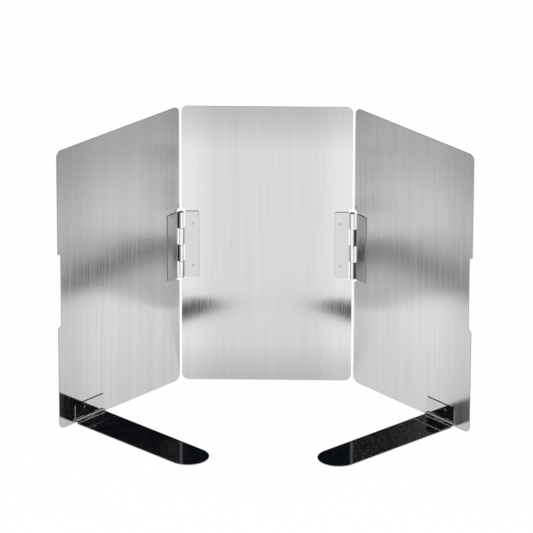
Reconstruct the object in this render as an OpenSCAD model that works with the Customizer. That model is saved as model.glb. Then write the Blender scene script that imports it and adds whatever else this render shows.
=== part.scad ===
// Folding three-panel stove windscreen of brushed stainless sheet.
// Two wings hinge on a centre panel, and a round-ended foot hinges out of the bottom of each wing.
// X runs across the centre panel, Y points away from the stove and Z is up.
// The origin is on the ground, under the middle of the opened screen.

/* [Panels] */
// Width of each panel
panel_w = 173; // [150:1:230]
// Height of each panel
panel_h = 300; // [200:5:400]
// Thickness of the panel sheet
panel_t = 0.8; // [0.5:0.1:1.2]
// Radius of the panel corners
panel_corner_r = 6.5; // [2:0.5:20]
// Angle of each wing, in from the plane of the centre panel
wing_angle = 47.5; // [0:0.5:60]

/* [Edge notches] */
// How far the notch runs past each end of the panel hinge
notch_end_gap = 3; // [1:0.5:8]
// Depth of the notch in the middle of each long edge
notch_depth = 4; // [3:0.5:8]
// Radius of the two inner corners of a notch
notch_inner_r = 1.8; // [0.5:0.1:2.5]
// Radius of the two lips of a notch
notch_lip_r = 2.2; // [0.5:0.1:3]

/* [Panel hinges] */
// Length of a panel hinge along its pin
hinge_len = 72; // [50:1:110]
// Reach of a panel hinge leaf from the pin axis
hinge_reach = 17.8; // [14:0.2:30]
// Thickness of a panel hinge leaf
hinge_leaf_t = 0.9; // [0.6:0.1:1.4]
// Diameter of a panel hinge pin
hinge_pin_d = 2.8; // [2:0.1:4]
// Number of knuckles along a panel hinge
hinge_knuckles = 4; // [2:1:7]
// Distance from the pin axis to the edge of a panel
hinge_edge_gap = 0.3; // [0.2:0.1:2]

/* [Feet] */
// Width of a foot
foot_w = 42; // [40:1:60]
// Reach of a foot from the inner face of its wing
foot_reach = 160; // [100:1:200]
// Thickness of a foot
foot_t = 0.8; // [0.5:0.1:1.2]
// Radius of the two corners at the hinged end of a foot
foot_corner_r = 4; // [0.5:0.5:8]
// Distance from the outer edge of a wing to the middle of its foot
foot_inset = 42; // [35:1:70]

/* [Foot hinges] */
// Length of a foot hinge along its pin
foot_hinge_len = 40; // [25:1:40]
// Reach of a foot hinge leaf from the pin axis
foot_hinge_reach = 17.2; // [12:0.2:30]
// Thickness of a foot hinge leaf
foot_leaf_t = 0.6; // [0.5:0.1:0.9]
// Diameter of a foot hinge pin
foot_pin_d = 1.4; // [1.2:0.1:2]
// Number of knuckles along a foot hinge
foot_knuckles = 3; // [3:2:7]
// Distance from the pin axis of a foot hinge to the hinged end of its foot
foot_end_set = 0.1; // [0:0.1:4]

/* [Leaf details] */
// Radius of the two outer corners of a hinge leaf
leaf_corner_r = 1.6; // [0.5:0.1:4]
// Gap between a knuckle and the leaf that it turns in
leaf_relief = 1.2; // [0.4:0.1:2]
// Angle at which a rolled knuckle ends, up from the middle of the barrel
seam_angle = 30; // [10:1:32]
// Diameter of the dimple that a spot weld leaves
weld_d = 2.8; // [1.5:0.1:4]
// Depth of the dimple that a spot weld leaves in a leaf
weld_depth = 0.12; // [0.05:0.01:0.3]
// Depth of the mark that a spot weld leaves on the outer face of a panel
weld_mark_depth = 0.06; // [0.02:0.01:0.2]
// Distance of the spot welds from the outer edge of a leaf
weld_edge = 5.7; // [3:0.1:8]
// Distance of the spot welds from the ends of a leaf
weld_end = 13; // [5:0.5:18]

/* [Fits] */
// Clearance between a pin and its knuckles, all round
pin_fit = 0.05; // [0.02:0.01:0.1]
// Gap between neighbouring knuckles
knuckle_gap = 0.3; // [0.1:0.05:0.6]
// How far the ends of a pin sit inside its barrel
pin_recess = 0.5; // [0:0.1:2]
// How far the back of a leaf stands behind its barrel, so that the barrel turns clear of the sheet
leaf_set = 0.2; // [0.1:0.05:0.5]

/* [Hidden] */
$fn = 96;

LEFT = -1;
RIGHT = 1;
sheet_colour = "gainsboro";
leaf_colour = "lightgray";
pin_colour = "darkgray";
foot_colour = "silver";
// A cutter runs this far past the face that it cuts
cut_over = 1;

// Barrel radius of a hinge whose leaf is rolled round its pin
function barrel_r(pin_d, leaf_t) = pin_d / 2 + pin_fit + leaf_t;
// Distance from the pin axis of a hinge to the sheet that its leaf lies on
function axis_height(pin_d, leaf_t) = barrel_r(pin_d, leaf_t) + leaf_set;
hinge_h = axis_height(hinge_pin_d, hinge_leaf_t);
foot_hinge_h = axis_height(foot_pin_d, foot_leaf_t);

hinge_axis_x = panel_w / 2 + hinge_edge_gap;
hinge_bottom = (panel_h - hinge_len) / 2;
notch_len = hinge_len + 2 * notch_end_gap;

// Middle of a foot, measured along its wing from the panel hinge axis
foot_mid = hinge_edge_gap + panel_w - foot_inset;
foot_axis_z = foot_t + foot_hinge_h;
foot_start = foot_hinge_h + foot_end_set;
foot_tip_r = foot_w / 2;

// Spot welds of a leaf, as distances from its pin axis and from one end of the hinge
function weld_points(reach, len) = [for (along = [weld_end, len - weld_end]) [reach - weld_edge, along]];
hinge_welds = [for (p = weld_points(hinge_reach, hinge_len)) [p.x, hinge_bottom + p.y]];
foot_hinge_welds = [
    for (p = weld_points(foot_hinge_reach, foot_hinge_len))
        [foot_mid + foot_hinge_len / 2 - p.y, foot_axis_z + p.x]
];

// Front and back of the opened screen, from the inner face of the centre panel
foot_front = -hinge_h - foot_mid * sin(wing_angle)
    + (hinge_h - foot_reach + foot_tip_r) * cos(wing_angle) - foot_tip_r;
wing_front = -hinge_h - (hinge_edge_gap + panel_w) * sin(wing_angle) + hinge_h * cos(wing_angle);
middle_y = (min(foot_front, wing_front) + panel_t) / 2;

// Puts a piece drawn about the hinge axis of one side onto the centre panel, reaching inwards
module on_centre(side) {
    translate([0, -middle_y, 0])
        mirror([side == LEFT ? 1 : 0, 0, 0])
            translate([hinge_axis_x, -hinge_h, 0])
                mirror([1, 0, 0])
                    children();
}

// Puts a piece drawn about the hinge axis of one side onto its wing, reaching outwards
module on_wing(side) {
    translate([0, -middle_y, 0])
        mirror([side == LEFT ? 1 : 0, 0, 0])
            translate([hinge_axis_x, -hinge_h, 0])
                rotate([0, 0, -wing_angle])
                    children();
}

// Moves a piece to one end of the foot hinge axis of a wing
module at_foot_axis(end) {
    translate([foot_mid + end * foot_hinge_len / 2, hinge_h - foot_hinge_h, foot_axis_z])
        children();
}

// Stands an outline in the XZ plane up as a sheet, with its back face at the given Y
module upright(back_y, thickness) {
    translate([0, back_y, 0])
        rotate([90, 0, 0])
            linear_extrude(thickness)
                children();
}

module rounded_rectangle(w, h, r) {
    translate([r, 0])
        square([w - 2 * r, h]);
    translate([0, r])
        square([w, h - 2 * r]);
    for (x = [r, w - r], y = [r, h - r])
        translate([x, y])
            circle(r = r);
}

// Notch in an edge that runs up Y through the origin, cut towards +X and centred on the origin
module notch() {
    translate([-notch_depth, -notch_len / 2])
        rounded_rectangle(2 * notch_depth, notch_len, notch_inner_r);
    for (end = [0, 1])
        mirror([0, end])
            translate([0, notch_len / 2])
                difference() {
                    translate([-cut_over, -cut_over])
                        square([cut_over + notch_lip_r, cut_over + notch_lip_r]);
                    translate([notch_lip_r, notch_lip_r])
                        circle(r = notch_lip_r);
                }
}

// All three panels are cut to the same outline, with a notch in both long edges
module panel_outline() {
    difference() {
        rounded_rectangle(panel_w, panel_h, panel_corner_r);
        for (edge = [0, 1])
            translate([edge * panel_w, panel_h / 2])
                mirror([edge, 0])
                    notch();
    }
}

// Cutters for the marks of spot welds on the outer face of a panel, placed from its hinge axis
module weld_marks(points) {
    for (p = points)
        translate([p.x, hinge_h + panel_t - weld_mark_depth, p.y])
            rotate([-90, 0, 0])
                cylinder(d = weld_d, h = cut_over);
}

// Cross-section of a knuckle: the strip leaves flat along +X and curls round the pin to an open seam
module knuckle_profile(bore_r, leaf_t, flat_len) {
    far = 2 * (bore_r + leaf_t);
    difference() {
        translate([0, leaf_set / 2])
            circle(r = bore_r + leaf_t + leaf_set / 2);
        circle(r = bore_r);
        polygon([[0, 0], far * [cos(seam_angle), sin(seam_angle)], [far, far], [0, far]]);
    }
    translate([0, bore_r + leaf_set])
        square([flat_len, leaf_t]);
}

// Hinge leaf with its pin axis on Z, reaching along +X, with its back face on the +Y side
module hinge_leaf(len, reach, leaf_t, pin_d, knuckles, first) {
    bore_r = pin_d / 2 + pin_fit;
    back_y = axis_height(pin_d, leaf_t);
    front_y = back_y - leaf_t;
    plate_x = barrel_r(pin_d, leaf_t) + leaf_relief;
    knuckle_len = (len - (knuckles - 1) * knuckle_gap) / knuckles;
    difference() {
        union() {
            for (i = [first : 2 : knuckles - 1])
                translate([0, 0, i * (knuckle_len + knuckle_gap)])
                    linear_extrude(knuckle_len)
                        knuckle_profile(bore_r, leaf_t, plate_x + leaf_corner_r);
            upright(back_y, leaf_t)
                leaf_outline(plate_x, reach, len);
        }
        for (p = weld_points(reach, len))
            translate([p.x, front_y - cut_over, p.y])
                rotate([-90, 0, 0])
                    cylinder(d = weld_d, h = cut_over + weld_depth);
    }
}

// Flat part of a leaf, square along the barrel and rounded at its two outer corners
module leaf_outline(from, to, len) {
    translate([from, 0])
        square([to - from - leaf_corner_r, len]);
    translate([from, leaf_corner_r])
        square([to - from, len - 2 * leaf_corner_r]);
    for (y = [leaf_corner_r, len - leaf_corner_r])
        translate([to - leaf_corner_r, y])
            circle(r = leaf_corner_r);
}

module panel_hinge_leaf(first) {
    translate([0, 0, hinge_bottom])
        hinge_leaf(hinge_len, hinge_reach, hinge_leaf_t, hinge_pin_d, hinge_knuckles, first);
}

module foot_hinge_leaf(first) {
    hinge_leaf(foot_hinge_len, foot_hinge_reach, foot_leaf_t, foot_pin_d, foot_knuckles, first);
}

// Foot drawn flat, with its middle on the Y axis and its hinged end at Y = 0
module foot_outline() {
    shank = foot_reach - foot_start - foot_tip_r;
    translate([-foot_tip_r, foot_corner_r])
        square([foot_w, shank - foot_corner_r]);
    translate([foot_corner_r - foot_tip_r, 0])
        square([foot_w - 2 * foot_corner_r, foot_corner_r]);
    for (x = [foot_corner_r - foot_tip_r, foot_tip_r - foot_corner_r])
        translate([x, foot_corner_r])
            circle(r = foot_corner_r);
    translate([0, shank])
        circle(r = foot_tip_r);
}

module wing_panel(side) {
    color(sheet_colour)
        on_wing(side)
            difference() {
                translate([hinge_edge_gap, 0, 0])
                    upright(hinge_h + panel_t, panel_t)
                        panel_outline();
                weld_marks(concat(hinge_welds, foot_hinge_welds));
            }
}

module hinge_centre_leaf(side, first) {
    color(leaf_colour)
        on_centre(side)
            panel_hinge_leaf(first);
}

module hinge_wing_leaf(side, first) {
    color(leaf_colour)
        on_wing(side)
            panel_hinge_leaf(first);
}

module hinge_pin(side) {
    color(pin_colour)
        on_centre(side)
            translate([0, 0, hinge_bottom + pin_recess])
                cylinder(d = hinge_pin_d, h = hinge_len - 2 * pin_recess);
}

// The wing leaf of a foot hinge stands on the wing and holds the middle knuckle
module foot_panel_leaf(side) {
    color(leaf_colour)
        on_wing(side)
            at_foot_axis(1)
                rotate([0, -90, 0])
                    foot_hinge_leaf(1);
}

// The foot leaf of a foot hinge lies on the foot and holds the outer knuckles
module foot_leaf(side) {
    color(leaf_colour)
        on_wing(side)
            at_foot_axis(-1)
                rotate([-90, 0, 0])
                    rotate([0, 90, 0])
                        foot_hinge_leaf(0);
}

module foot_pin(side) {
    color(pin_colour)
        on_wing(side)
            at_foot_axis(-1)
                rotate([0, 90, 0])
                    translate([0, 0, pin_recess])
                        cylinder(d = foot_pin_d, h = foot_hinge_len - 2 * pin_recess);
}

module foot_plate(side) {
    color(foot_colour)
        on_wing(side)
            translate([foot_mid, hinge_h - foot_start, 0])
                mirror([0, 1, 0])
                    linear_extrude(foot_t)
                        foot_outline();
}

module centre_panel() {
    color(sheet_colour)
        difference() {
            translate([-panel_w / 2, -middle_y, 0])
                upright(panel_t, panel_t)
                    panel_outline();
            for (side = [LEFT, RIGHT])
                on_centre(side)
                    weld_marks(hinge_welds);
        }
}

// The left-hand leaf of each panel hinge has the top knuckle
module left_panel() { wing_panel(LEFT); }
module right_panel() { wing_panel(RIGHT); }
module left_hinge_centre_leaf() { hinge_centre_leaf(LEFT, 0); }
module left_hinge_wing_leaf() { hinge_wing_leaf(LEFT, 1); }
module left_hinge_pin() { hinge_pin(LEFT); }
module right_hinge_centre_leaf() { hinge_centre_leaf(RIGHT, 1); }
module right_hinge_wing_leaf() { hinge_wing_leaf(RIGHT, 0); }
module right_hinge_pin() { hinge_pin(RIGHT); }
module left_foot_panel_leaf() { foot_panel_leaf(LEFT); }
module left_foot_leaf() { foot_leaf(LEFT); }
module left_foot_pin() { foot_pin(LEFT); }
module left_foot_plate() { foot_plate(LEFT); }
module right_foot_panel_leaf() { foot_panel_leaf(RIGHT); }
module right_foot_leaf() { foot_leaf(RIGHT); }
module right_foot_pin() { foot_pin(RIGHT); }
module right_foot_plate() { foot_plate(RIGHT); }

centre_panel();
left_panel();
right_panel();
left_hinge_centre_leaf();
left_hinge_wing_leaf();
left_hinge_pin();
right_hinge_centre_leaf();
right_hinge_wing_leaf();
right_hinge_pin();
left_foot_panel_leaf();
left_foot_leaf();
left_foot_pin();
left_foot_plate();
right_foot_panel_leaf();
right_foot_leaf();
right_foot_pin();
right_foot_plate();
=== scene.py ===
"""Looks of the stove windscreen: brushed sheet, rolled hinges and bright feet on a white stage."""
import math

import bmesh
import bpy
from mathutils import Matrix, Vector


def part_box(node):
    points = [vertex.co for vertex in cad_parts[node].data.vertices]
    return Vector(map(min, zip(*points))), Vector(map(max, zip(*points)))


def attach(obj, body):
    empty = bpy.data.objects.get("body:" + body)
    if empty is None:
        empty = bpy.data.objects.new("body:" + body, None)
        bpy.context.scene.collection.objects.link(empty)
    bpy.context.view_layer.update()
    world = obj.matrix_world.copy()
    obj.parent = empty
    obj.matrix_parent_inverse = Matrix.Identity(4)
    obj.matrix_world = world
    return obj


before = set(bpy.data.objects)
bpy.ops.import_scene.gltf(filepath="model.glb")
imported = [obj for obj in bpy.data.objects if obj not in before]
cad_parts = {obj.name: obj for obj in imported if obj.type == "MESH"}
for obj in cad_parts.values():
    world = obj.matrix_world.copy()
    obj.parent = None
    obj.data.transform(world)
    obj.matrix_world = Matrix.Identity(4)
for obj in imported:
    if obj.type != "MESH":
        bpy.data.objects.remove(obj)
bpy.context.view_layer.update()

# Camera: where the photograph was taken from, in degrees and metres, and its focal length in pixels
PHOTO_SIZE = 533
FOCAL_PIXELS = 5955.7
SENSOR_WIDTH = 36.0
CAMERA_ELEVATION = 22.748
CAMERA_AZIMUTH = 0.881
CAMERA_ROLL = 0.174
CAMERA_DISTANCE = 6.0583
AIM_X = -0.00034
AIM_Z = 0.12566

# Stage: a white floor, in metres, and how white the camera and the metal see it
FLOOR_SIDE = 3.0
FLOOR_BACK = 3.0
FLOOR_FRONT = -3.0
FLOOR_WHITE = (0.95, 0.95, 0.95, 1.0)
WHITE_TO_CAMERA = 0.98
WHITE_TO_METAL = 0.82

# Studio: white above and beside, dark on the camera's side and dim behind, with a softbox overhead.
# From and full say how far a direction has to point to the front or back for the dark or the dim.
STUDIO_WHITE = (1.0, 1.0, 1.0, 1.0)
STUDIO_DARK = (0.004, 0.006, 0.010, 1.0)
DARK_FROM = 0.25
DARK_FULL = 0.55
STUDIO_DIM = (0.10, 0.10, 0.10, 1.0)
DIM_FROM = 0.45
DIM_FULL = 0.75
SOFTBOX_SIZE = (2.4, 0.8)
SOFTBOX_PLACE = (0.0, -0.95, 1.6)
SOFTBOX_AIM = (0.0, -0.05, 0.1)
SOFTBOX_POWER = 13.0

# Steel finishes: tone is the linear reflectance, tint its colour, and streak how far grain changes it.
# Vary is the share by which the grain changes the roughness, and relief the strength of its bump.
NEUTRAL = (1.0, 1.0, 1.0)
WARM = (1.0, 0.994, 0.985)
ROSY = (1.0, 0.99, 0.99)
COOL = (0.985, 0.988, 1.0)
CENTRE_FINISH = {
    "tone": 0.82, "tint": NEUTRAL, "streak": 0.035,
    "roughness": 0.15, "vary": 0.15, "anisotropic": 0.9, "relief": 0.1,
}
WING_FINISH = {
    "left": {
        "tone": 0.755, "tint": WARM, "streak": 0.05,
        "roughness": 0.15, "vary": 0.15, "anisotropic": 0.9, "relief": 0.05,
    },
    "right": {
        "tone": 0.80, "tint": ROSY, "streak": 0.05,
        "roughness": 0.16, "vary": 0.12, "anisotropic": 0.95, "relief": 0.04,
    },
}
LEAF_FINISH = {
    "centre": {
        "tone": 0.71, "tint": COOL, "streak": 0.02,
        "roughness": 0.08, "vary": 0.2, "anisotropic": 0.3, "relief": 0.02,
    },
    "wing": {
        "tone": 0.56, "tint": NEUTRAL, "streak": 0.02,
        "roughness": 0.08, "vary": 0.2, "anisotropic": 0.3, "relief": 0.02,
    },
}
FOOT_FINISH = {
    "tone": 0.62, "tint": NEUTRAL, "streak": 0.02,
    "roughness": 0.05, "vary": 0.2, "anisotropic": 0.3, "relief": 0.01,
}
FOOT_LEAF_FINISH = {
    "tone": 0.60, "tint": COOL, "streak": 0.02,
    "roughness": 0.078, "vary": 0.04, "anisotropic": 0.0, "relief": 0.01,
}
PIN_FINISH = {
    "tone": 0.62, "tint": NEUTRAL, "streak": 0.02,
    "roughness": 0.20, "vary": 0.2, "anisotropic": 0.3, "relief": 0.05,
}

# Edges and barrels: tone of the sheared edges and the rolled barrels, and roughness of the feet's
# edges.
# The panel hinges' barrels are brighter, partly polish and partly painted highlight; the foot hinges'
# barrels are darker, painted shade.
SHEET_EDGE_TONE = 0.42
LEAF_EDGE_TONE = 0.36
UPRIGHT_EDGE_TONE = 0.55
FOOT_EDGE_TONE = 0.42
FOOT_EDGE_ROUGH = {"left": 0.15, "right": 0.4}
BARREL_HIGHLIGHT_TONE = 0.95
FOOT_BARREL_SHADE_TONE = 0.40

# Grain: three noises drawn out along it, how far it leans from upright and how deep it is.
# The spans are the noise values that give the least and most tone and roughness.
# A quarter turn of the gloss spreads it across the grain.
HAIRLINE = {"scale": 1400.0, "stretch": 300.0, "detail": 2.0}
LINE = {"scale": 450.0, "stretch": 600.0, "detail": 2.0}
BAND = {"scale": 130.0, "stretch": 60.0, "detail": 3.0}
NOISE_ROUGHNESS = 0.6
GRAIN_LEAN = (0.01, 0.02, 0)
GRAIN_HEIGHT = 0.0002
TONE_SPAN = (0.6, 1.4)
ROUGH_SPAN = (0.3, 0.7)
QUARTER_TURN = 0.25

# Painted shade of the panels, darker towards the top and bottom: share of the tone lost, and where it
# starts and is full.
# Top and bottom are heights. Side is measured from a wing's hinge or the middle of the centre panel:
# the wings get darker towards their outer edges, the centre panel in its middle, which leaves a painted
# sheen towards its hinges.
CENTRE_PAINTED_SHADE = {"top": (0.265, 0.245, 0.30), "bottom": (0.24, 0.05, 0.0), "side": (0.14, 0.086, 0.042)}
WING_PAINTED_SHADE = {
    "left": {"top": (0.34, 0.205, 0.30), "bottom": (0.17, 0.13, 0.0), "side": (0.18, 0.11, 0.173)},
    "right": {"top": (0.29, 0.215, 0.30), "bottom": (0.17, 0.13, 0.0), "side": (0.18, 0.11, 0.173)},
}

# Share of a wing's roughness left near its lower edge, and the heights between which it comes back
WING_SMOOTH = {"left": 0.35, "right": 0.91}
SMOOTH_BELOW = 0.035
ROUGH_ABOVE = 0.12

# Hinges, in degrees and metres: the turn of the wings, how far behind the pin the rolled barrels start,
# and how far the painted shade reaches beside the knuckles and round the leaves
WING_ANGLE = 47.5
BARREL_BACK = 0.001
FOOT_BARREL_BACK = 0.0007
HINGE_CREVICE = 0.0025
FOOT_CREVICE = 0.0016
SEAM = 0.0008

# Faces and painted shade: the least cosine at which a surface counts as facing a direction,
# how open a nook is where its painted shade is darkest and where it is clear, and the share of the tone
# left there
FACE_LEAST = 0.5
NOOK_SPAN = (0.5, 0.8)
NOOK_SAMPLES = 8
PAINTED_SHADE_SPAN = (0.05, 1.0)

# Painted shadow line on the sheet over the upper edge of an upright foot leaf: half its length, and
# heights from that edge
LEDGE_HALF = 0.0195
LEDGE_BELOW = -0.001
LEDGE_DARK = 0.0008
LEDGE_END = 0.0013

# Spot welds: places on the leaves, and depth of the leaf and sheet faces from the pin axis
HINGE_WELD_REACH = 0.0121
HINGE_WELD_HEIGHTS = (0.127, 0.173)
HINGE_LEAF_FACE = 0.00165
HINGE_SHEET_BACK = 0.00335
FOOT_WELD_REACH = 0.0115
FOOT_WELD_STEPS = (-0.007, 0.007)
FOOT_LEAF_FACE = 0.00095
FOOT_SHEET_BACK = 0.00235

# Weld nuggets: depth of their dimples, share of their height left on the feet, and their outline
# as rings of a radius and a height, from the middle to the rim
WELD_DEPTH = 0.00012
MARK_DEPTH = 0.00006
FOOT_SWELL = 0.35
WELD_PROFILE = (
    (0.00045, 0.000050),
    (0.00080, 0.000030),
    (0.00105, 0.000060),
    (0.00122, 0.000090),
    (0.00134, 0.000040),
    (0.00138, 0.000000),
)
WELD_STEPS = 24

# Weld steel: heat tint from the middle to the rim, with a ragged border
WELD_ROUGHNESS = 0.2
WELD_RIM = 0.0014
WELD_GREY = (0.60, 0.59, 0.59, 1)
WELD_STRAW = (0.63, 0.61, 0.58, 1)
WELD_BLUE = (0.57, 0.58, 0.60, 1)
STRAW_AT = 0.6
MOTTLE_SCALE = 2500.0
MOTTLE_REACH = 0.0003

RIGHT = Vector((1, 0, 0))
UP = Vector((0, 0, 1))
GRAIN = (UP + Vector(GRAIN_LEAN)).normalized()
SIDES = {"left": -1, "right": 1}


def front_normal(side):
    """Direction the inner face of a panel looks."""
    if side == "centre":
        return Vector((0, -1, 0))
    turn = math.radians(WING_ANGLE)
    return Vector((-SIDES[side] * math.sin(turn), -math.cos(turn), 0))


def outward(side):
    """Direction along a wing, from its hinge to its outer edge."""
    turn = math.radians(WING_ANGLE)
    return Vector((SIDES[side] * math.cos(turn), -math.sin(turn), 0))


def middle_of(node):
    """Middle of a node's box."""
    low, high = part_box(node)
    return (Vector(low) + Vector(high)) / 2


def top_of(node):
    """Middle of the top of a node's box."""
    top = middle_of(node)
    top.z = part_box(node)[1].z
    return top


def add(tree, kind, inputs=None, **settings):
    """A new shader node with its settings and the values or links of its named inputs."""
    made = tree.nodes.new(kind)
    for name, value in settings.items():
        setattr(made, name, value)
    for name, value in (inputs or {}).items():
        if isinstance(value, bpy.types.NodeSocket):
            tree.links.new(value, made.inputs[name])
        else:
            made.inputs[name].default_value = value
    return made


def empty_material(name):
    """A new material with no nodes yet."""
    material = bpy.data.materials.new(name)
    material.use_nodes = True
    material.node_tree.nodes.clear()
    return material


def math_node(tree, operation, first, second=0.0):
    """Result of an operation on one or two numbers or links."""
    made = add(tree, "ShaderNodeMath", {0: first, 1: second}, operation=operation)
    return made.outputs[0]


def map_range(tree, value, source, target, interpolation="LINEAR"):
    """The value carried from one span to another, held at the ends."""
    made = add(
        tree,
        "ShaderNodeMapRange",
        {
            "Value": value,
            "From Min": source[0],
            "From Max": source[1],
            "To Min": target[0],
            "To Max": target[1],
        },
        interpolation_type=interpolation,
    )
    return made.outputs[0]


def dot_node(tree, vector, direction):
    """How far a linked vector reaches along a direction."""
    made = add(tree, "ShaderNodeVectorMath", {0: vector, 1: direction}, operation="DOT_PRODUCT")
    return made.outputs["Value"]


def choose(tree, factor, low, high):
    """One number where the factor is 0 and another where it is 1."""
    made = add(tree, "ShaderNodeMix", {"Factor": factor, "A": low, "B": high}, data_type="FLOAT")
    return made.outputs[0]


def mix_colour(tree, factor, low, high):
    """One colour where the factor is 0 and another where it is 1."""
    made = add(tree, "ShaderNodeMixRGB", {"Fac": factor, "Color1": low, "Color2": high})
    return made.outputs[0]


def tinted(tree, tone, tint):
    """The tone as a colour with a slight tint."""
    red, green, blue = [math_node(tree, "MULTIPLY", tone, share) for share in tint]
    made = add(tree, "ShaderNodeCombineColor", {"Red": red, "Green": green, "Blue": blue})
    return made.outputs[0]


def grain_noise(tree, grain, scale, stretch, detail):
    """Noise drawn out along the direction of the grain, in the part's own space."""
    turn = UP.rotation_difference(grain).to_euler()
    place = add(tree, "ShaderNodeTexCoord")
    mapping = add(
        tree,
        "ShaderNodeMapping",
        {"Vector": place.outputs["Object"], "Rotation": turn, "Scale": (1, 1, stretch)},
        vector_type="TEXTURE",
    )
    noise = add(
        tree,
        "ShaderNodeTexNoise",
        {"Vector": mapping.outputs[0], "Scale": scale, "Detail": detail, "Roughness": NOISE_ROUGHNESS},
    )
    return noise.outputs["Fac"]


def grain_tangent(tree, grain):
    """Direction of the grain, turned with the part."""
    along = add(tree, "ShaderNodeCombineXYZ", {"X": grain.x, "Y": grain.y, "Z": grain.z})
    turned = add(
        tree,
        "ShaderNodeVectorTransform",
        {"Vector": along.outputs[0]},
        vector_type="VECTOR",
        convert_from="OBJECT",
        convert_to="WORLD",
    )
    return turned.outputs[0]


def distance_along(tree, place, origin, direction):
    """How far past the origin the surface lies along a direction."""
    reached = dot_node(tree, place.outputs["Object"], direction)
    return math_node(tree, "SUBTRACT", reached, origin.dot(direction))


def nook_shade(tree, reach, local):
    """Share of the tone left by painted shade in a nook of the piece itself, or also of its neighbours
    if not local.
    """
    nook = add(
        tree,
        "ShaderNodeAmbientOcclusion",
        {"Distance": reach},
        only_local=local,
        samples=NOOK_SAMPLES,
    )
    return map_range(tree, nook.outputs["AO"], NOOK_SPAN, PAINTED_SHADE_SPAN)


def ledge_shade(tree, place, face_normal, middle, along):
    """Share of the tone left on the front of a sheet by a painted shadow line over the upper edge of
    the leaf on it.
    """
    rise = distance_along(tree, place, middle, UP)
    shift = distance_along(tree, place, middle, along)
    facing = dot_node(tree, place.outputs["Normal"], face_normal)
    beside = math_node(tree, "LESS_THAN", math_node(tree, "ABSOLUTE", shift), LEDGE_HALF)
    above = math_node(tree, "GREATER_THAN", rise, LEDGE_BELOW)
    front = math_node(tree, "GREATER_THAN", facing, FACE_LEAST)
    inside = math_node(tree, "MULTIPLY", math_node(tree, "MULTIPLY", beside, above), front)
    return choose(tree, inside, 1.0, map_range(tree, rise, (LEDGE_DARK, LEDGE_END), PAINTED_SHADE_SPAN))


def dull_shades(tree, place, losses, origin, along):
    """Shares of the tone left on a panel by painted shade towards its top, bottom and sides."""
    rise = dot_node(tree, place.outputs["Object"], UP)
    across = math_node(tree, "ABSOLUTE", distance_along(tree, place, origin, along))
    shades = []
    for distance, edge in ((rise, "top"), (rise, "bottom"), (across, "side")):
        loss, start, end = losses[edge]
        shades.append(map_range(tree, distance, (start, end), (1.0, 1.0 - loss), "SMOOTHSTEP"))
    return shades


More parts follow.
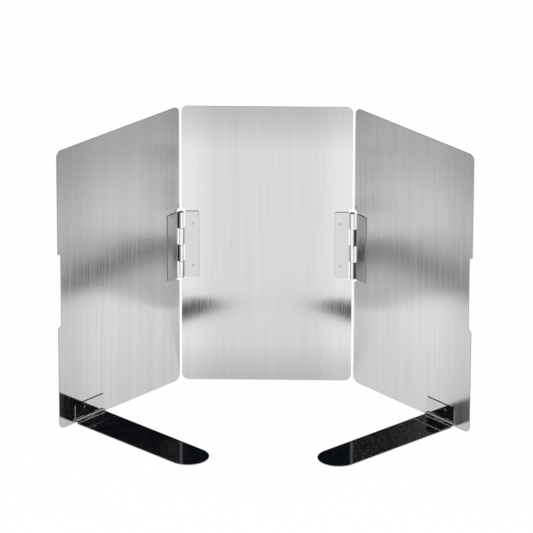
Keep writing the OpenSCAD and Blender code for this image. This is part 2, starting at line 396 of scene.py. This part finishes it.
def brushed_steel(
    name,
    finish,
    edge_tone,
    grain,
    face_normal,
    barrel=None,
    crevice=None,
    seam=None,
    ledge=None,
    panel_shade=None,
    smooth=1.0,
    edge_rough=None,
):
    """Brushed stainless with hairlines along the grain and a duller sheared edge.

    barrel: offset along the face normal beyond which the steel is rolled, and its tone there, brighter
    than the leaf on the panel hinges (partly polish, partly painted highlight) and darker on the foot
    hinges (painted shade).
    crevice: how far from a knuckle the nook beside it is darkened by painted shade.
    seam: how far from the edge of a leaf the sheet under it is darkened by painted shade.
    ledge: middle of a leaf's upper edge and the direction along it, over which a shadow line is painted
    on the sheet.
    panel_shade: painted shade of a panel: its losses, the point that its side loss is measured from and
    the direction across it.
    smooth: share of the roughness that is left near the lower edge of a panel.
    edge_rough: roughness of the sheared edges, where they are duller than the faces.
    """
    material = empty_material(name)
    tree = material.node_tree
    place = add(tree, "ShaderNodeTexCoord")
    hairline = grain_noise(tree, grain, **HAIRLINE)
    line = grain_noise(tree, grain, **LINE)
    band = grain_noise(tree, grain, **BAND)
    facing = math_node(tree, "ABSOLUTE", dot_node(tree, place.outputs["Normal"], face_normal))
    on_face = math_node(tree, "GREATER_THAN", facing, FACE_LEAST)

    darkest = finish["tone"] - finish["streak"]
    lightest = finish["tone"] + finish["streak"]
    tone = map_range(tree, math_node(tree, "ADD", line, band), TONE_SPAN, (darkest, lightest))
    rolled = 0.0
    if barrel is not None:
        start, barrel_tone = barrel
        offset = dot_node(tree, place.outputs["Object"], face_normal)
        rolled = math_node(tree, "GREATER_THAN", offset, start)
        tone = choose(tree, rolled, tone, barrel_tone)
    tone = choose(tree, on_face, edge_tone, tone)
    shades = []
    # Painted shade: darker in the nooks beside the knuckles and round the edges of the leaves
    if crevice is not None:
        shades.append(nook_shade(tree, crevice, local=True))
    if seam is not None:
        shades.append(nook_shade(tree, seam, local=False))
    # Painted shadow: a dark line on the sheet over the upper edge of a foot leaf
    if ledge is not None:
        shades.append(ledge_shade(tree, place, face_normal, *ledge))
    # Painted shade towards the top, bottom and sides of a panel
    if panel_shade is not None:
        shades.extend(dull_shades(tree, place, *panel_shade))
    for shade in shades:
        tone = math_node(tree, "MULTIPLY", tone, shade)

    least = finish["roughness"] * (1 - finish["vary"])
    most = finish["roughness"] * (1 + finish["vary"])
    rough = map_range(tree, line, ROUGH_SPAN, (least, most))
    if smooth < 1.0:
        height = dot_node(tree, place.outputs["Object"], UP)
        share = map_range(tree, height, (SMOOTH_BELOW, ROUGH_ABOVE), (smooth, 1.0), "SMOOTHSTEP")
        rough = math_node(tree, "MULTIPLY", rough, share)
    if edge_rough is not None:
        glossy = math_node(tree, "MAXIMUM", on_face, rolled)
        rough = choose(tree, glossy, edge_rough, rough)

    grained = math_node(tree, "ADD", hairline, band)
    bump = add(
        tree,
        "ShaderNodeBump",
        {"Height": grained, "Strength": finish["relief"], "Distance": GRAIN_HEIGHT},
    )
    shader = add(
        tree,
        "ShaderNodeBsdfPrincipled",
        {
            "Base Color": tinted(tree, tone, finish["tint"]),
            "Metallic": 1.0,
            "Roughness": rough,
            "Anisotropic": finish["anisotropic"],
            "Anisotropic Rotation": QUARTER_TURN,
            "Tangent": grain_tangent(tree, grain),
            "Normal": bump.outputs[0],
        },
    )
    add(tree, "ShaderNodeOutputMaterial", {"Surface": shader.outputs[0]})
    return material


def set_material(node, material):
    """Give a CAD node its one material."""
    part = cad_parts[node]
    part.data.materials.clear()
    part.data.materials.append(material)


def dress_panels():
    """Brushed sheet with upright grain on the centre panel and the wings."""
    centre = brushed_steel(
        "centre_sheet",
        CENTRE_FINISH,
        SHEET_EDGE_TONE,
        GRAIN,
        front_normal("centre"),
        seam=SEAM,
        # Painted shade: darker at the top, the bottom and in the middle, lighter towards the hinges
        panel_shade=(CENTRE_PAINTED_SHADE, middle_of("centre_panel"), RIGHT),
    )
    set_material("centre_panel", centre)
    for side in SIDES:
        wing = brushed_steel(
            side + "_sheet",
            WING_FINISH[side],
            SHEET_EDGE_TONE,
            GRAIN,
            front_normal(side),
            seam=SEAM,
            # A shadow line is painted on the wing over the upright foot leaf
            ledge=(top_of(side + "_foot_panel_leaf"), outward(side)),
            # Painted shade: darker at the top, the bottom and towards the outer edge
            panel_shade=(WING_PAINTED_SHADE[side], middle_of(side + "_hinge_pin"), outward(side)),
            smooth=WING_SMOOTH[side],
        )
        set_material(side + "_panel", wing)


def dress_hinges():
    """Satin steel on the leaves of the panel hinges, and plain steel on every pin."""
    for side in SIDES:
        axis = middle_of(side + "_hinge_pin")
        for owner, face in (("centre", front_normal("centre")), ("wing", front_normal(side))):
            leaf = brushed_steel(
                side + "_" + owner + "_leaf",
                LEAF_FINISH[owner],
                LEAF_EDGE_TONE,
                GRAIN,
                face,
                # The rolled barrel is brighter than the leaf, partly polish and partly a painted
                # highlight
                barrel=(axis.dot(face) - BARREL_BACK, BARREL_HIGHLIGHT_TONE),
                crevice=HINGE_CREVICE,
            )
            set_material(side + "_hinge_" + owner + "_leaf", leaf)
        pin = brushed_steel(side + "_pin", PIN_FINISH, LEAF_EDGE_TONE, GRAIN, front_normal(side))
        set_material(side + "_hinge_pin", pin)
        set_material(side + "_foot_pin", pin)


def dress_feet():
    """Bright steel on the foot plates and the leaves of their hinges."""
    for side in SIDES:
        normal = front_normal(side)
        axis = middle_of(side + "_foot_pin")
        upright = brushed_steel(
            side + "_upright_leaf",
            FOOT_LEAF_FINISH,
            UPRIGHT_EDGE_TONE,
            GRAIN,
            normal,
            # The rolled barrel is darker than the leaf, a painted shade
            barrel=(axis.dot(normal) - FOOT_BARREL_BACK, FOOT_BARREL_SHADE_TONE),
            crevice=FOOT_CREVICE,
        )
        set_material(side + "_foot_panel_leaf", upright)
        lying = brushed_steel(
            side + "_lying_leaf",
            FOOT_LEAF_FINISH,
            FOOT_EDGE_TONE,
            normal,
            UP,
            # The rolled barrel is darker than the leaf, a painted shade
            barrel=(axis.dot(UP) - FOOT_BARREL_BACK, FOOT_BARREL_SHADE_TONE),
            crevice=FOOT_CREVICE,
            edge_rough=FOOT_EDGE_ROUGH[side],
        )
        set_material(side + "_foot_leaf", lying)
        plate = brushed_steel(
            side + "_foot_sheet",
            FOOT_FINISH,
            FOOT_EDGE_TONE,
            normal,
            UP,
            edge_rough=FOOT_EDGE_ROUGH[side],
        )
        set_material(side + "_foot_plate", plate)


def weld_steel():
    """Heat-tinted steel of the weld nuggets: grey in the middle, straw and blue towards the rim."""
    material = empty_material("weld")
    tree = material.node_tree
    place = add(tree, "ShaderNodeTexCoord").outputs["Object"]
    flat = add(tree, "ShaderNodeVectorMath", {0: place, 1: (1, 1, 0)}, operation="MULTIPLY")
    radius = add(tree, "ShaderNodeVectorMath", {0: flat.outputs[0]}, operation="LENGTH")
    mottle = add(tree, "ShaderNodeTexNoise", {"Vector": place, "Scale": MOTTLE_SCALE})
    wander = map_range(tree, mottle.outputs["Fac"], (0, 1), (-MOTTLE_REACH, MOTTLE_REACH))
    ragged = math_node(tree, "ADD", radius.outputs["Value"], wander)
    ramp = add(tree, "ShaderNodeValToRGB", {"Fac": map_range(tree, ragged, (0.0, WELD_RIM), (0, 1))})
    stops = ramp.color_ramp.elements
    stops[0].color = WELD_GREY
    stops[1].color = WELD_BLUE
    straw = stops.new(STRAW_AT)
    straw.color = WELD_STRAW
    shader = add(
        tree,
        "ShaderNodeBsdfPrincipled",
        {"Base Color": ramp.outputs["Color"], "Metallic": 1.0, "Roughness": WELD_ROUGHNESS},
    )
    add(tree, "ShaderNodeOutputMaterial", {"Surface": shader.outputs[0]})
    return material


def weld_mesh(material):
    """A squeezed weld nugget: a low dome with a raised rim, turned about its own Z."""
    shape = bmesh.new()
    rings = []
    for radius, height in WELD_PROFILE:
        ring = []
        for step in range(WELD_STEPS):
            turn = 2 * math.pi * step / WELD_STEPS
            ring.append(shape.verts.new((radius * math.cos(turn), radius * math.sin(turn), height)))
        rings.append(ring)
    shape.faces.new(rings[0])
    for inner, outer in zip(rings, rings[1:]):
        for step in range(WELD_STEPS):
            after = (step + 1) % WELD_STEPS
            shape.faces.new((inner[step], outer[step], outer[after], inner[after]))
    shape.faces.new(list(reversed(rings[-1])))
    mesh = bpy.data.meshes.new("weld")
    shape.to_mesh(mesh)
    shape.free()
    # The four-sided faces of the dome are shaded smooth, its flat middle and base are not
    for face in mesh.polygons:
        face.use_smooth = len(face.vertices) == 4
    mesh.materials.append(material)
    return mesh


def place_weld(name, mesh, body, spot, normal, depth, swell=1.0):
    """One nugget sunk to the floor of its dimple and carried by its body."""
    weld = bpy.data.objects.new(name, mesh)
    turn = UP.rotation_difference(normal).to_matrix().to_4x4()
    weld.matrix_world = Matrix.Translation(spot - normal * depth) @ turn
    weld.scale.z = swell * depth / WELD_DEPTH
    bpy.context.scene.collection.objects.link(weld)
    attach(weld, body)


def place_nugget(name, mesh, body, spot, normal, swell=1.0):
    """A weld on the face of a leaf."""
    place_weld(name, mesh, body, spot, normal, WELD_DEPTH, swell)


def place_mark(name, mesh, body, spot, normal):
    """The fainter mark of a weld on the back of a panel."""
    place_weld(name, mesh, body, spot, normal, MARK_DEPTH)


def make_hinge_welds(mesh, side):
    """Welds of a panel hinge, to the centre panel and to its wing."""
    axis = middle_of(side + "_hinge_pin")
    owners = (
        ("centre", RIGHT * -SIDES[side], front_normal("centre")),
        (side + "_wing", outward(side), front_normal(side)),
    )
    for body, reach, face in owners:
        for count, height in enumerate(HINGE_WELD_HEIGHTS):
            spot = axis + reach * HINGE_WELD_REACH
            spot.z = height
            name = side + "_" + body + "_weld_" + str(count)
            place_nugget(name, mesh, body, spot - face * HINGE_LEAF_FACE, face)
            place_mark(name + "_back", mesh, body, spot - face * HINGE_SHEET_BACK, -face)


def make_foot_welds(mesh, side):
    """Welds of a foot hinge, to its wing and to its foot."""
    axis = middle_of(side + "_foot_pin")
    normal = front_normal(side)
    wing = side + "_wing"
    foot = side + "_foot"
    for count, step in enumerate(FOOT_WELD_STEPS):
        name = side + "_foot_weld_" + str(count)
        upright = axis + outward(side) * step + UP * FOOT_WELD_REACH
        lying = axis + outward(side) * step + normal * FOOT_WELD_REACH
        place_nugget(name + "_wing", mesh, wing, upright - normal * FOOT_LEAF_FACE, normal, FOOT_SWELL)
        place_mark(name + "_back", mesh, wing, upright - normal * FOOT_SHEET_BACK, -normal)
        place_nugget(name + "_foot", mesh, foot, lying - UP * FOOT_LEAF_FACE, UP, FOOT_SWELL)


def make_welds():
    """Nuggets on the faces of the leaves, and their marks on the backs of the panels."""
    mesh = weld_mesh(weld_steel())
    for side in SIDES:
        make_hinge_welds(mesh, side)
        make_foot_welds(mesh, side)


def make_floor():
    """White floor that shows as white to the camera and in the metal, and keeps a faint shadow."""
    material = empty_material("white_floor")
    tree = material.node_tree
    light = add(tree, "ShaderNodeLightPath").outputs
    seen = math_node(tree, "MAXIMUM", light["Is Glossy Ray"], light["Is Transmission Ray"])
    to_metal = math_node(tree, "MULTIPLY", seen, WHITE_TO_METAL)
    to_camera = math_node(tree, "MULTIPLY", light["Is Camera Ray"], WHITE_TO_CAMERA)
    share = math_node(tree, "MAXIMUM", to_metal, to_camera)
    paper = add(tree, "ShaderNodeBsdfDiffuse", {"Color": FLOOR_WHITE})
    glow = add(tree, "ShaderNodeEmission", {"Color": STUDIO_WHITE, "Strength": 1.0})
    mix = add(tree, "ShaderNodeMixShader", {0: share, 1: paper.outputs[0], 2: glow.outputs[0]})
    add(tree, "ShaderNodeOutputMaterial", {"Surface": mix.outputs[0]})
    corners = [
        (-FLOOR_SIDE, FLOOR_FRONT, 0),
        (FLOOR_SIDE, FLOOR_FRONT, 0),
        (FLOOR_SIDE, FLOOR_BACK, 0),
        (-FLOOR_SIDE, FLOOR_BACK, 0),
    ]
    mesh = bpy.data.meshes.new("floor")
    mesh.from_pydata(corners, [], [(0, 1, 2, 3)])
    mesh.materials.append(material)
    floor = bpy.data.objects.new("floor", mesh)
    bpy.context.scene.collection.objects.link(floor)


def make_studio():
    """White world that the metal sees dark in front and dim behind."""
    world = bpy.data.worlds.new("studio")
    world.use_nodes = True
    tree = world.node_tree
    tree.nodes.clear()
    place = add(tree, "ShaderNodeTexCoord")
    axes = add(tree, "ShaderNodeSeparateXYZ", {"Vector": place.outputs["Generated"]})
    backward = axes.outputs["Y"]
    forward = math_node(tree, "MULTIPLY", backward, -1.0)
    dark = map_range(tree, forward, (DARK_FROM, DARK_FULL), (0.0, 1.0), "SMOOTHSTEP")
    dim = map_range(tree, backward, (DIM_FROM, DIM_FULL), (0.0, 1.0), "SMOOTHSTEP")
    light = add(tree, "ShaderNodeLightPath")
    unseen = math_node(tree, "SUBTRACT", 1.0, light.outputs["Is Camera Ray"])
    behind = mix_colour(tree, math_node(tree, "MULTIPLY", dim, unseen), STUDIO_WHITE, STUDIO_DIM)
    colour = mix_colour(tree, math_node(tree, "MULTIPLY", dark, unseen), behind, STUDIO_DARK)
    background = add(tree, "ShaderNodeBackground", {"Color": colour})
    add(tree, "ShaderNodeOutputWorld", {"Surface": background.outputs[0]})
    bpy.context.scene.world = world


def make_softbox():
    """Wide soft lamp above and in front of the windscreen."""
    data = bpy.data.lights.new("softbox", "AREA")
    data.shape = "RECTANGLE"
    data.size, data.size_y = SOFTBOX_SIZE
    data.energy = SOFTBOX_POWER
    softbox = bpy.data.objects.new("softbox", data)
    look = Vector(SOFTBOX_AIM) - Vector(SOFTBOX_PLACE)
    turn = look.to_track_quat("-Z", "Y").to_matrix().to_4x4()
    softbox.matrix_world = Matrix.Translation(SOFTBOX_PLACE) @ turn
    softbox.visible_camera = False
    bpy.context.scene.collection.objects.link(softbox)


def make_camera():
    """Camera at the photograph's viewpoint, aimed at the front of the centre panel."""
    elevation = math.radians(CAMERA_ELEVATION)
    azimuth = math.radians(CAMERA_AZIMUTH)
    roll = math.radians(CAMERA_ROLL)
    back = Vector((
        math.sin(azimuth) * math.cos(elevation),
        -math.cos(azimuth) * math.cos(elevation),
        math.sin(elevation),
    ))
    right = Vector((math.cos(azimuth), math.sin(azimuth), 0))
    up = back.cross(right)
    turned_right = right * math.cos(roll) + up * math.sin(roll)
    turned_up = up * math.cos(roll) - right * math.sin(roll)
    aim = Vector((AIM_X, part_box("centre_panel")[0].y, AIM_Z))
    data = bpy.data.cameras.new("camera")
    data.sensor_width = SENSOR_WIDTH
    data.lens = FOCAL_PIXELS / PHOTO_SIZE * SENSOR_WIDTH
    camera = bpy.data.objects.new("camera", data)
    place = Matrix((turned_right, turned_up, back)).transposed().to_4x4()
    place.translation = aim + back * CAMERA_DISTANCE
    camera.matrix_world = place
    bpy.context.scene.collection.objects.link(camera)
    bpy.context.scene.camera = camera


make_camera()
make_floor()
make_studio()
make_softbox()
dress_panels()
dress_hinges()
dress_feet()
make_welds()
bpy.context.scene.view_settings.view_transform = "Standard"
